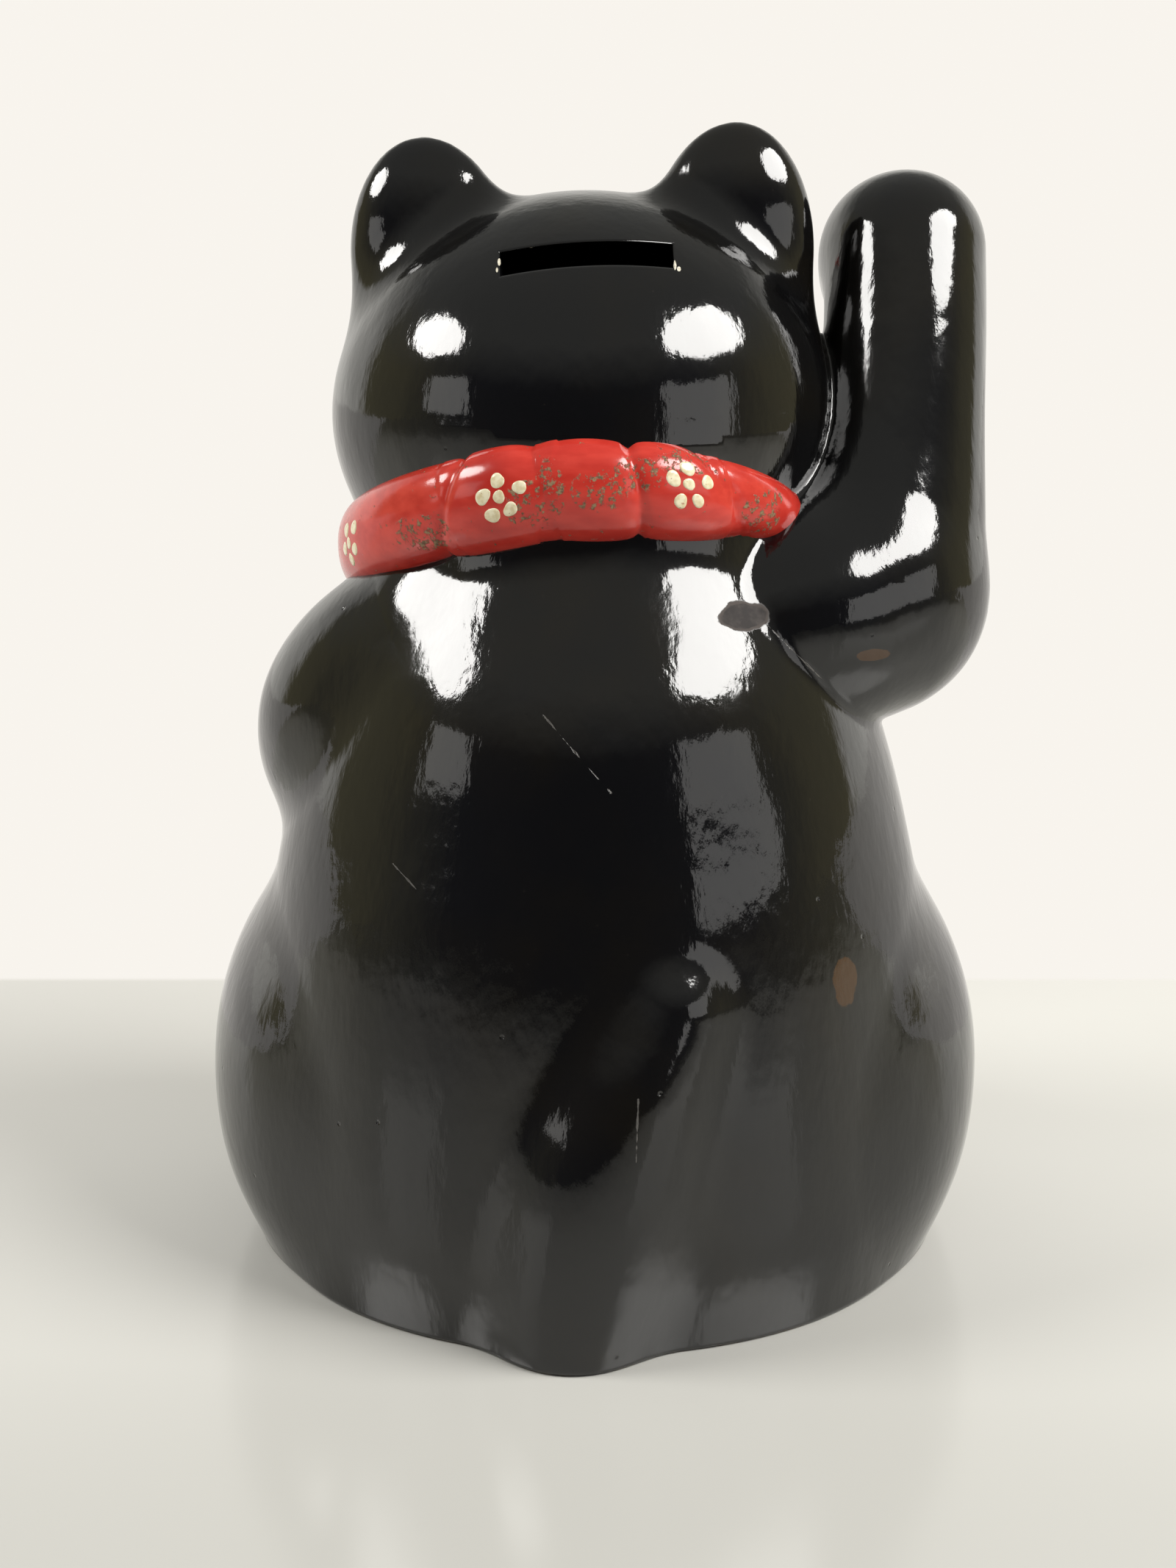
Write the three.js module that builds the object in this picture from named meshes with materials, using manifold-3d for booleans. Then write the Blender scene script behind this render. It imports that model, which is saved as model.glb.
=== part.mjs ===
// A beckoning cat coin bank: a hollow glazed figure with a coin slot in the back of its head, put together
// from castings and sprigs that are luted to one another, and closed underneath by a pull-out stopper.
// Millimetres, +Z up. The cat sits on Z = 0 and looks along -Y, so its raised right paw is on -X.
import * as THREE from "three";
import { mergeVertices } from "three/addons/utils/BufferGeometryUtils.js";
import Module from "manifold-3d";

const wasm = await Module();
wasm.setup();

// ---------------------------------------------------------------- driving dimensions

const WALL = 5; // thickness of the cast walls
const GAP = 0.3; // joint line between two castings

const TORSO = {
  // [radius, height] up the back, from the foot to inside the neck
  profile: [[89, 0], [92.5, 20], [93, 45], [91, 75], [86, 108], [78, 140], [68, 168], [57, 190], [46, 212]],
  depth: 0.97, // front to back, as a share of the width
};
const HAUNCH = { at: [59, -12, 45], radii: [45, 70, 66] };
const NECK = { height: 195, tilt: 0.24 }; // the joint under the collar, lower at the throat; tilt in radians

// The head leans a little towards the lowered paw. Everything on it is measured from its own centre.
const HEAD = { at: [3.5, -6, 226], radii: [66, 60, 57], roll: 0.045 };
const MUZZLE = { at: [0, -54, -15], radii: [22, 12, 14] };
const EAR = { reach: { left: 36, right: 40 }, forward: 2, up: 37, radii: [22, 12, 35], lean: 0.11, hollow: [13, 9, 24] };
const SLOT = { width: 42.5, height: 6.4, tilt: 0.1, at: [-3, 38, 40.3] };

const RAISED_ARM = {
  upper: { path: [[-38, 20, 171], [-54, 13, 175], [-69, 5, 180]], radii: [28, 33, 34] },
  fore: { path: [[-70, 4, 181], [-78.5, 0, 211], [-81.5, -9, 243], [-82, -18, 267]], radii: [33, 24, 21.5, 21.5] },
  paw: { at: [-81, -35, 262], radii: [20, 24, 21], bow: 0.5 },
};
const LOWERED_ARM = {
  path: [[36, 18, 170], [57, 2, 145], [58, -30, 122], [44, -62, 110], [24, -84, 108]],
  radii: [28, 33, 27, 20, 17],
};
const TAIL = {
  path: [[-19, 78, 86], [-9, 80, 64], [0, 79, 38], [6, 79, 4]],
  radii: [10, 16.5, 21, 19],
};
const FOOT = { at: [45, -74, 12], radii: [23, 25, 16] };

const COLLAR = {
  at: [3.5, -2, 192.5],
  radii: [56, 54.5],
  height: 24,
  thickness: 17,
  rise: 13.5, // how far it climbs from the sides to the nape, and drops to the throat
  arch: 5.5, // how far nape and throat both stand above that
  roll: 0.05,
  puffs: 16,
  firstPinch: 15, // degrees round from +X
  pinch: 0.16,
  squeeze: 0.35, // share of its height lost between the cheek and the raised arm
  squeezedAt: 165, // degrees round from +X
};
const BELL = { radius: 11.5, at: [2, -71, 167], slit: 2.6, belt: 0.9 };
const KOBAN = { width: 36, length: 60, thickness: 8, edge: 1.4, at: [12, -90, 74], lean: -0.2, back: 0.03 };

const BASE_PLATE = { bottom: 4.5, thickness: 6 };
const STOPPER = {
  hole: 22.5, // radius of the hole in the base plate
  plug: 22.1,
  taper: 0.8,
  top: 17,
  flange: 27,
  flangeThickness: 2.6,
  clearOfFloor: 1.2,
  wall: 3,
  tabWidth: 5,
  tabHeight: 9,
};

// ---------------------------------------------------------------- shapes

const vector = (p) => new THREE.Vector3(...p);

// A closed geometry as a solid that can be joined and cut.
function solid(geometry) {
  geometry.deleteAttribute("normal");
  geometry.deleteAttribute("uv");
  const merged = mergeVertices(geometry, 1e-4);
  return new wasm.Manifold(
    new wasm.Mesh({
      numProp: 3,
      vertProperties: merged.attributes.position.array,
      triVerts: new Uint32Array(merged.index.array),
    }),
  );
}

// Moves every vertex of a geometry by a function of its position.
function bend(geometry, move) {
  const position = geometry.attributes.position;
  const p = new THREE.Vector3();
  for (let i = 0; i < position.count; i++) {
    p.fromBufferAttribute(position, i);
    move(p);
    position.setXYZ(i, p.x, p.y, p.z);
  }
  return geometry;
}

// A ball stretched to three radii, as a geometry. "fine" is how many facets go round it.
function ball(radii, grow = 0, fine = 22) {
  const sphere = new THREE.SphereGeometry(1, fine, Math.round(fine * 0.64)).rotateX(Math.PI / 2);
  return sphere.scale(radii[0] + grow, radii[1] + grow, radii[2] + grow);
}

// A rounded limb: a capsule bent along a smooth path, with its own radius at each point of the path.
function limb({ path, radii }, grow = 0, around = 16, along = 14) {
  const curve = new THREE.CatmullRomCurve3(path.map(vector));
  const girth = new THREE.CatmullRomCurve3(radii.map((r, i) => new THREE.Vector3(r, i, 0)));
  const { tangents, normals, binormals } = curve.computeFrenetFrames(along);
  const capsule = new THREE.CapsuleGeometry(1, along, 4, around, along);
  bend(capsule, (p) => {
    const height = p.y + along / 2;
    const ring = Math.round(THREE.MathUtils.clamp(height, 0, along));
    const t = curve.getUtoTmapping(ring / along);
    const radius = girth.getPoint(t).x + grow;
    const { x, z } = p;
    p.copy(curve.getPoint(t));
    p.addScaledVector(normals[ring], z * radius);
    p.addScaledVector(binormals[ring], x * radius);
    p.addScaledVector(tangents[ring], (height - ring) * radius);
  });
  return solid(capsule);
}

const box = (x, y, z, at) => solid(new THREE.BoxGeometry(x, y, z).translate(...at));

// Everything below a level plane.
const below = (top = 0) => box(400, 400, 200, [0, 0, top - 100]);

// Everything above, or below, the tilted joint of the neck, less half the joint line.
function neckSide(above) {
  const size = 400;
  const block = new THREE.BoxGeometry(size, size, size);
  block.translate(0, 0, (above ? 1 : -1) * (size / 2 + GAP / 2));
  return solid(block.rotateX(NECK.tilt).translate(0, 0, NECK.height));
}

// ---------------------------------------------------------------- the masses of the figure

function torso(grow, fine = 36) {
  const bottom = -5; // the foot is cut level afterwards
  const back = new THREE.SplineCurve(TORSO.profile.map(([r, z]) => new THREE.Vector2(r, z)));
  const outline = back.getPoints(Math.round(fine * 0.4)).map((p) => new THREE.Vector2(p.x + grow, p.y));
  outline[0].y = bottom;
  outline.unshift(new THREE.Vector2(0, bottom));
  outline.push(new THREE.Vector2(0, outline[outline.length - 1].y));
  return solid(new THREE.LatheGeometry(outline, fine).rotateX(Math.PI / 2).scale(1, TORSO.depth, 1));
}

function haunch(side, grow, fine = 22) {
  const [x, y, z] = HAUNCH.at;
  return solid(ball(HAUNCH.radii, grow, fine).translate(side * x, y, z));
}

// A geometry measured from the centre of the head, put where the head is.
const onHead = (geometry) => solid(geometry.rotateY(HEAD.roll).translate(...HEAD.at));

const skull = (grow, fine = 30) => onHead(ball(HEAD.radii, grow, fine));

const muzzle = (grow) => onHead(ball(MUZZLE.radii, grow, 18).translate(...MUZZLE.at));

function ear(side, grow) {
  const x = side * (side > 0 ? EAR.reach.left : EAR.reach.right);
  const lean = side * EAR.lean;
  const lobe = ball(EAR.radii, grow, 20).rotateY(lean).translate(x, EAR.forward, EAR.up);
  const hollow = ball(EAR.hollow, -grow, 16).rotateY(lean).translate(x, EAR.forward - EAR.radii[1], EAR.up + 3);
  return onHead(lobe).subtract(onHead(hollow));
}

// The arm that beckons: a short upper arm, an upright forearm and a paw bowed forwards.
function raisedLimb(grow) {
  const { upper, fore, paw } = RAISED_ARM;
  const fist = solid(ball(paw.radii, grow, 18).rotateX(paw.bow).translate(...paw.at));
  return limb(upper, grow, 18, 6).add(limb(fore, grow, 18, 10)).add(fist);
}

const body = (grow) => torso(grow).add(haunch(1, grow)).add(haunch(-1, grow)).subtract(below());

const head = (grow) => skull(grow).add(muzzle(grow));

// The collar is a puffed band round the neck, gathered between its puffs.
function collar(grow) {
  const ring = new THREE.TorusGeometry(10, 1, 10, 4 * COLLAR.puffs);
  bend(ring, (p) => {
    const angle = Math.atan2(p.y, p.x);
    const outward = Math.hypot(p.x, p.y) - 10;
    const gather = Math.cos((COLLAR.puffs / 2) * (angle - THREE.MathUtils.degToRad(COLLAR.firstPinch)));
    const puff = 1 - COLLAR.pinch * gather ** 8;
    const towardsArm = Math.max(0, Math.cos(angle - THREE.MathUtils.degToRad(COLLAR.squeezedAt)));
    const squeezed = 1 - COLLAR.squeeze * towardsArm ** 4;
    const reach = outward * ((COLLAR.thickness / 2) * puff + grow);
    const climb = COLLAR.rise * Math.sin(angle) + COLLAR.arch * Math.sin(angle) ** 2;
    p.set(
      Math.cos(angle) * (COLLAR.radii[0] + reach),
      Math.sin(angle) * (COLLAR.radii[1] + reach),
      climb + p.z * ((COLLAR.height / 2) * puff * squeezed + grow),
    );
  });
  return solid(ring.rotateY(COLLAR.roll).translate(...COLLAR.at));
}

// ---------------------------------------------------------------- the castings

// The one hollow inside body, neck and head, open underneath.
function cavity(grow = 0) {
  const inset = grow - WALL;
  return torso(inset, 26).add(haunch(1, inset, 18)).add(haunch(-1, inset, 18)).add(skull(inset, 24));
}

// The wall that runs through body, neck and head, before it is parted at the neck.
const castWall = () => body(0).add(head(0)).subtract(cavity());

const bodyShell = () => castWall().intersect(neckSide(false));

function headShell() {
  const slot = new THREE.BoxGeometry(SLOT.width, 40, SLOT.height).rotateX(SLOT.tilt).translate(...SLOT.at);
  return castWall().intersect(neckSide(true)).subtract(onHead(slot));
}

const earLobe = (side) => ear(side, 0).subtract(head(GAP));

function raisedArm() {
  return raisedLimb(0).subtract(head(GAP)).subtract(ear(-1, GAP)).subtract(body(GAP)).subtract(collar(GAP));
}

const loweredArm = () => limb(LOWERED_ARM).subtract(head(GAP)).subtract(body(GAP)).subtract(collar(GAP));

const tail = () => limb(TAIL).subtract(body(GAP)).subtract(below());

function foot(side) {
  const [x, y, z] = FOOT.at;
  const paw = solid(ball(FOOT.radii, 0, 20).translate(side * x, y, z));
  return paw.subtract(body(GAP)).subtract(below());
}

const collarBand = () => collar(0).subtract(head(GAP)).subtract(body(GAP));

// A round bell with a raised belt and a slit below it.
function bell() {
  const [x, y, z] = BELL.at;
  const globe = solid(ball([BELL.radius, BELL.radius, BELL.radius], 0, 20).translate(x, y, z));
  const rim = new THREE.CylinderGeometry(BELL.radius + BELL.belt, BELL.radius + BELL.belt, 2 * BELL.belt, 24);
  const belt = solid(rim.rotateX(Math.PI / 2).translate(x, y, z));
  const slit = box(BELL.slit, 3 * BELL.radius, BELL.radius, [x, y, z - 0.8 * BELL.radius]);
  return globe.add(belt).subtract(slit).subtract(collar(GAP)).subtract(body(GAP));
}

// The oval coin that the lowered paw holds against the belly.
function koban() {
  const outline = new THREE.Shape();
  const { edge, thickness } = KOBAN;
  outline.absellipse(0, 0, KOBAN.width / 2 - edge, KOBAN.length / 2 - edge, 0, 2 * Math.PI);
  const plate = new THREE.ExtrudeGeometry(outline, {
    depth: thickness - 2 * edge,
    bevelThickness: edge,
    bevelSize: edge,
    bevelSegments: 2,
    curveSegments: 14,
  });
  plate.translate(0, 0, edge - thickness / 2);
  plate.rotateX(Math.PI / 2).rotateY(KOBAN.lean).rotateX(KOBAN.back);
  return solid(plate.translate(...KOBAN.at)).subtract(body(GAP)).subtract(limb(LOWERED_ARM, GAP));
}

function basePlate() {
  const { bottom, thickness } = BASE_PLATE;
  const slab = box(300, 300, thickness, [0, 0, bottom + thickness / 2]);
  const hole = new THREE.CylinderGeometry(STOPPER.hole, STOPPER.hole, 60, 40).rotateX(Math.PI / 2);
  return slab.intersect(cavity(-GAP)).subtract(solid(hole));
}

// A hollow rubber plug with a flange under the base plate and a tab inside it to pull on.
function stopper() {
  const s = STOPPER;
  const seat = s.clearOfFloor + s.flangeThickness;
  const corner = 0.6;
  const profile = [
    [0, s.top - s.wall],
    [s.plug - s.taper - s.wall, s.top - s.wall],
    [s.plug - s.wall, s.clearOfFloor],
    [s.flange - corner, s.clearOfFloor],
    [s.flange, s.clearOfFloor + corner],
    [s.flange, seat],
    [s.plug, seat],
    [s.plug - s.taper, s.top - corner],
    [s.plug - s.taper - corner, s.top],
    [0, s.top],
  ];
  const cup = new THREE.LatheGeometry(profile.map((p) => new THREE.Vector2(...p)), 40).rotateX(Math.PI / 2);
  const tabLength = 1.3 * (s.plug - s.taper - s.wall);
  const tab = box(tabLength, s.tabWidth, s.tabHeight + 1, [0, 0, s.top - s.wall - s.tabHeight / 2 + 0.5]);
  return solid(cup).add(tab);
}

// ---------------------------------------------------------------- finishes and the figure

const finish = (color, roughness, metalness = 0) => new THREE.MeshStandardMaterial({ color, roughness, metalness });

const glaze = finish(0x0b0b0c, 0.12);
const red = finish(0xb3231f, 0.3);
const gold = finish(0xb08a3c, 0.35, 0.6);
const clay = finish(0xcdb999, 0.85);
const rubber = finish(0x2a2724, 0.7);

const figure = new THREE.Group();

function place(name, made, material) {
  const { numProp, numVert, vertProperties, triVerts } = made.getMesh();
  const points = new Float32Array(3 * numVert);
  for (let i = 0; i < numVert; i++) points.set(vertProperties.subarray(i * numProp, i * numProp + 3), 3 * i);
  const geometry = new THREE.BufferGeometry();
  geometry.setAttribute("position", new THREE.BufferAttribute(points, 3));
  geometry.setIndex(new THREE.BufferAttribute(triVerts, 1));
  geometry.computeVertexNormals();
  const mesh = new THREE.Mesh(geometry, material);
  mesh.name = name;
  figure.add(mesh);
}

place("body_shell", bodyShell(), glaze);
place("head_shell", headShell(), glaze);
place("raised_arm", raisedArm(), glaze);
place("lowered_arm", loweredArm(), glaze);
place("tail", tail(), glaze);
for (const [name, side] of [["left", 1], ["right", -1]]) {
  place(`${name}_ear`, earLobe(side), glaze);
  place(`${name}_foot`, foot(side), glaze);
}
place("collar", collarBand(), red);
place("bell", bell(), gold);
place("koban", koban(), gold);
place("base_plate", basePlate(), clay);
place("stopper", stopper(), rubber);

export default figure;
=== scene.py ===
"""Looks of the beckoning cat coin bank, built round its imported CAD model.

The glazed figure is one smooth surface: the masses of the CAD model, blended into one another as soft clay
is, then parted again along its joint lines into a hollow piece for each CAD node. Lengths inside this file
are millimetres in the frame of the CAD model; meshes are written in metres.
"""

import math

import bmesh
import bpy
import numpy as np
from mathutils import Matrix, Vector


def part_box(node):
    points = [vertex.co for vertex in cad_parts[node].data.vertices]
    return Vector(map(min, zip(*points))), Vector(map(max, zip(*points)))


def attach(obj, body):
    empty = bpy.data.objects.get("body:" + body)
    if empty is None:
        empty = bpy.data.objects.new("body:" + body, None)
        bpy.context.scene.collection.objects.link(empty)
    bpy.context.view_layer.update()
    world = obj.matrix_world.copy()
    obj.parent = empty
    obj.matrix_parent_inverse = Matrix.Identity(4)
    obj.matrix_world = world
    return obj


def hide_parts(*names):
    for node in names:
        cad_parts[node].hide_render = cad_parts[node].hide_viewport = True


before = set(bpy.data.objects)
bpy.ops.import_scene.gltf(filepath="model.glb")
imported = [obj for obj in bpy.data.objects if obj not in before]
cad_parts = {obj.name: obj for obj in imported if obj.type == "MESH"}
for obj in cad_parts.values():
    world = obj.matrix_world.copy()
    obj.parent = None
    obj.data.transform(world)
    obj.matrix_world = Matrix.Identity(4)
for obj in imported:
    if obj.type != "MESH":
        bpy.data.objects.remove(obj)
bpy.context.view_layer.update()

MM = 0.001

# ---------------------------------------------------------------- shape of the figure, as in part.mjs

# half the width of the torso, and the height where it is that wide
TORSO_PROFILE = [
    (89, 0), (92.5, 20), (93, 45), (91, 75), (86, 108), (78, 140), (68, 168), (57, 190), (46, 212)
]
TORSO_DEPTH = 0.97
TORSO_TOP = 214
# how much fuller the back is than the belly, at which height, and over what height
BACK_FULLNESS = (0.055, 157, 25)
HAUNCH_AT = (59, -12, 45)
HAUNCH_RADII = (47.5, 70, 68)
HEAD_AT = (3.5, -6, 226)
HEAD_RADII = (66, 60, 57)
HEAD_ROLL = 0.045
EAR_RADII = (22, 12, 35)
EAR_LEAN = 0.11
EAR_REACH = {1: 36, -1: 40}
UPPER_ARM = [(-38, 20, 171, 28), (-54, 13, 175, 33), (-69, 5, 180, 34)]
FOREARM = [(-70, 4, 181, 33), (-78.5, 0, 211, 24), (-81.5, -9, 243, 21.5), (-82, -18, 267, 21.5)]
PAW_AT = (-81, -35, 262)
PAW_RADII = (20, 24, 21)
PAW_BOW = 0.5
LOWERED_ARM = [
    (36, 18, 170, 28), (57, 2, 145, 33), (58, -30, 122, 27), (44, -62, 110, 20), (24, -84, 108, 17)
]
TAIL = [(-19, 78, 86, 10), (-9, 80, 64, 16.5), (0, 79, 38, 21), (6, 79, 4, 19)]
FOOT_AT = (45, -74, 12)
FOOT_RADII = (23, 25, 16)

SLOT_AT = (-3, 38, 40.3)  # from the centre of the head
SLOT_HALF_WIDTH = 21.2
SLOT_HALF_HEIGHT = 2.7
SLOT_ARCH = 1.6  # how far its middle stands above its ends
LIP = 0.7  # radius of the glazed lip of the slot

WALL = 4.5
FOOT_EDGE = 1.6  # radius of the rounded edge of the foot

COLLAR_AT = (3.5, -2, 192.5)
COLLAR_RADII = (56, 54.5)
COLLAR_HEIGHT = 24
COLLAR_THICKNESS = 17
COLLAR_RISE = 13.5
COLLAR_ARCH = 5.5
COLLAR_ROLL = 0.05


def catmull(points, steps):
    """A smooth line through points, with steps samples in each span."""
    p = np.array(points, float)
    p = np.vstack([p[:1], p, p[-1:]])
    t = np.linspace(0, 1, steps, endpoint=False)[:, None]
    rows = []
    for i in range(1, len(p) - 2):
        a, b, c, d = p[i - 1], p[i], p[i + 1], p[i + 2]
        rows.append(
            b
            + t * (c - a) / 2
            + t**2 * (a - 2.5 * b + 2 * c - d / 2)
            + t**3 * (1.5 * (b - c) + (d - a) / 2)
        )
    return np.vstack(rows + [p[-1:]])


torso_line = catmull(TORSO_PROFILE, 12)
torso_slope = np.gradient(torso_line[:, 0], torso_line[:, 1])


def smooth_min(a, b, k):
    """The smaller of two distances, rounded where they are within k of each other."""
    h = np.maximum(k - np.abs(a - b), 0) / k
    return np.minimum(a, b) - h * h * k / 4


def turned_y(p, angle):
    """Points seen from a frame turned about Y by angle."""
    c, s = math.cos(angle), math.sin(angle)
    return np.stack([p[:, 0] * c - p[:, 2] * s, p[:, 1], p[:, 0] * s + p[:, 2] * c], 1)


def turned_x(p, angle):
    """Points seen from a frame turned about X by angle."""
    c, s = math.cos(angle), math.sin(angle)
    return np.stack([p[:, 0], p[:, 1] * c + p[:, 2] * s, p[:, 2] * c - p[:, 1] * s], 1)


def ellipsoid(p, radii):
    r = np.array(radii, p.dtype)
    k0 = np.sqrt(((p / r) ** 2).sum(1))
    k1 = np.sqrt(((p / (r * r)) ** 2).sum(1))
    return k0 * (k0 - 1) / np.maximum(k1, 1e-6)


def on_curve(path, along):
    """The smooth line through a path, at positions counted in spans from its start."""
    p = np.array(path, float)
    p = np.vstack([p[:1], p, p[-1:]])
    i = np.clip(along.astype(int), 0, len(path) - 2)
    t = (along - i)[:, None]
    a, b, c, d = p[i], p[i + 1], p[i + 2], p[i + 3]
    return b + t * (c - a) / 2 + t**2 * (a - 2.5 * b + 2 * c - d / 2) + t**3 * (1.5 * (b - c) + (d - a) / 2)


def limb(p, path, steps=5):
    """A rounded limb along a smooth path of points (x, y, z, radius).

    Far from it, the distance to its box will do.
    """
    line = catmull(path, steps)
    spans = len(path) - 1
    low = (line[:, :3] - line[:, 3:]).min(0)
    high = (line[:, :3] + line[:, 3:]).max(0)
    best = np.sqrt((np.maximum(np.maximum(low - p, p - high), 0) ** 2).sum(1)) + 2
    near = best < 20
    q = p[near]
    close = np.full(len(q), 1e9)
    along = np.zeros(len(q))
    for i, (a, b) in enumerate(zip(line[:-1], line[1:])):
        run = b[:3] - a[:3]
        t = np.clip((q - a[:3]) @ run / (run @ run), 0, 1)
        gap = np.sqrt(((q - a[:3] - t[:, None] * run) ** 2).sum(1)) - a[3] - t * (b[3] - a[3])
        along = np.where(gap < close, (i + t) / steps, along)
        close = np.minimum(close, gap)

    def distance(at):
        c = on_curve(path, np.clip(at, 0, spans))
        return np.sqrt(((q - c[:, :3]) ** 2).sum(1)) - c[:, 3]

    # the straight pieces find the place roughly; a parabola through three distances finds it on the curve
    for reach in (0.5 / steps, 0.2 / steps, 0.08 / steps):
        before, here, after = distance(along - reach), distance(along), distance(along + reach)
        bend = np.maximum(before + after - 2 * here, 1e-5)
        move = np.clip(reach * (before - after) / (2 * bend), -reach, reach)
        along = np.clip(along + move, 0, spans)
    best[near] = distance(along)
    return best


def torso(p):
    r = np.interp(p[:, 2], torso_line[:, 1], torso_line[:, 0])
    slope = np.interp(p[:, 2], torso_line[:, 1], torso_slope)
    fuller, height, spread = BACK_FULLNESS
    behind = 0.5 + 0.5 * np.clip(p[:, 1] / 20, -1, 1)
    depth = TORSO_DEPTH + behind * fuller * np.exp(-(((p[:, 2] - height) / spread) ** 2))
    side = (np.hypot(p[:, 0], p[:, 1] / depth) - r) / np.sqrt(1 + slope**2)
    return np.maximum(side, p[:, 2] - TORSO_TOP)


def on_head(p):
    """Points measured from the centre of the head, in its leaning frame."""
    return turned_y(p - np.array(HEAD_AT, float), HEAD_ROLL)


def from_head(p):
    """The other way: from the head's own frame to that of the figure."""
    return turned_y(np.atleast_2d(np.array(p, float)), -HEAD_ROLL) + np.array(HEAD_AT, float)


def ear(h, side):
    lobe_at = np.array([side * EAR_REACH[side], 2, 37], float)
    q = turned_y(h - lobe_at, side * EAR_LEAN)
    lobe = ellipsoid(q, EAR_RADII)
    hollow = ellipsoid(q - np.array([0, -12.5, 2]), (13, 8.5, 24))
    return -smooth_min(-lobe, hollow, 3)


def masses(p):
    """The distance to each mass of the figure, by the name of its CAD node."""
    h = on_head(p)
    mirrored = p * np.array([-1, 1, 1])
    body = smooth_min(torso(p), ellipsoid(p - np.array(HAUNCH_AT), HAUNCH_RADII), 7)
    body = smooth_min(body, ellipsoid(mirrored - np.array(HAUNCH_AT), HAUNCH_RADII), 7)
    skull = ellipsoid(h, HEAD_RADII)
    for x in (-8.5, 8.5):
        skull = smooth_min(skull, ellipsoid(h - np.array([x, -55, -14]), (13, 10, 10)), 7)
    skull = smooth_min(skull, ellipsoid(h - np.array([0, -51, -24]), (9, 8, 7)), 7)
    arm = smooth_min(limb(p, UPPER_ARM), limb(p, FOREARM), 4)
    arm = smooth_min(arm, ellipsoid(turned_x(p - np.array(PAW_AT), PAW_BOW), PAW_RADII), 9)
    return {
        "body_shell": body,
        "head_shell": skull,
        "raised_arm": arm,
        "lowered_arm": limb(p, LOWERED_ARM),
        "tail": limb(p, TAIL),
        "left_ear": ear(h, 1),
        "right_ear": ear(h, -1),
        "left_foot": ellipsoid(p - np.array(FOOT_AT), FOOT_RADII),
        "right_foot": ellipsoid(mirrored - np.array(FOOT_AT), FOOT_RADII),
    }


def unevenness(p):
    """The slight waviness of a hand-finished casting."""
    x, y, z = p[:, 0], p[:, 1], p[:, 2]
    wave = (
        np.sin(x / 11 + 1.3 * np.sin(z / 17)) * np.sin(z / 13 + 0.7)
        + np.sin(y / 9 + z / 15 + 2) * np.sin(x / 14)
    )
    return 0.16 * wave


def figure(p, m=None):
    """The whole glazed surface: zero on it, below zero inside."""
    m = m or masses(p)
    head = smooth_min(m["head_shell"], m["left_ear"], 9)
    head = smooth_min(head, m["right_ear"], 9)
    d = smooth_min(m["body_shell"], head, 14)
    d = smooth_min(d, m["tail"], 11)
    d = smooth_min(d, m["left_foot"], 6)
    d = smooth_min(d, m["right_foot"], 6)
    d = smooth_min(d, m["lowered_arm"], 6)
    return smooth_min(d, m["raised_arm"], 2.5) + unevenness(p)


# ---------------------------------------------------------------- from field to mesh


def gradient(field, p, reach=0.05):
    """Value and gradient of a field, from four samples round each point."""
    corners = np.array([[1, -1, -1], [-1, -1, 1], [-1, 1, -1], [1, 1, 1]], float)
    slope = np.zeros_like(p)
    value = np.zeros(len(p))
    for c in corners:
        v = field(p + c * reach)
        slope += v[:, None] * c
        value += v / 4
    return value, slope / (4 * reach)


def grid_values(field, low, high, step):
    """The field on a fine grid, worked out only near the surface."""
    block = 4
    count = np.ceil((np.array(high) - low) / (step * block)).astype(int)
    axes = [low[i] + step * block * np.arange(count[i] + 1) for i in range(3)]
    coarse = field(np.stack(np.meshgrid(*axes, indexing="ij"), -1).reshape(-1, 3)).reshape(count + 1)
    near = np.full(count, 1e9)
    for dx in (0, 1):
        for dy in (0, 1):
            for dz in (0, 1):
                corner = coarse[dx : dx + count[0], dy : dy + count[1], dz : dz + count[2]]
                near = np.minimum(near, np.abs(corner))
    active = near < 1.15 * step * block
    fine = coarse[:-1, :-1, :-1]
    for axis in range(3):
        fine = np.repeat(fine, block, axis)
        active = np.repeat(active, block, axis)
    fine = fine.copy()
    where = np.argwhere(active)
    fine[active] = field(where * step + np.array(low))
    return fine


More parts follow.
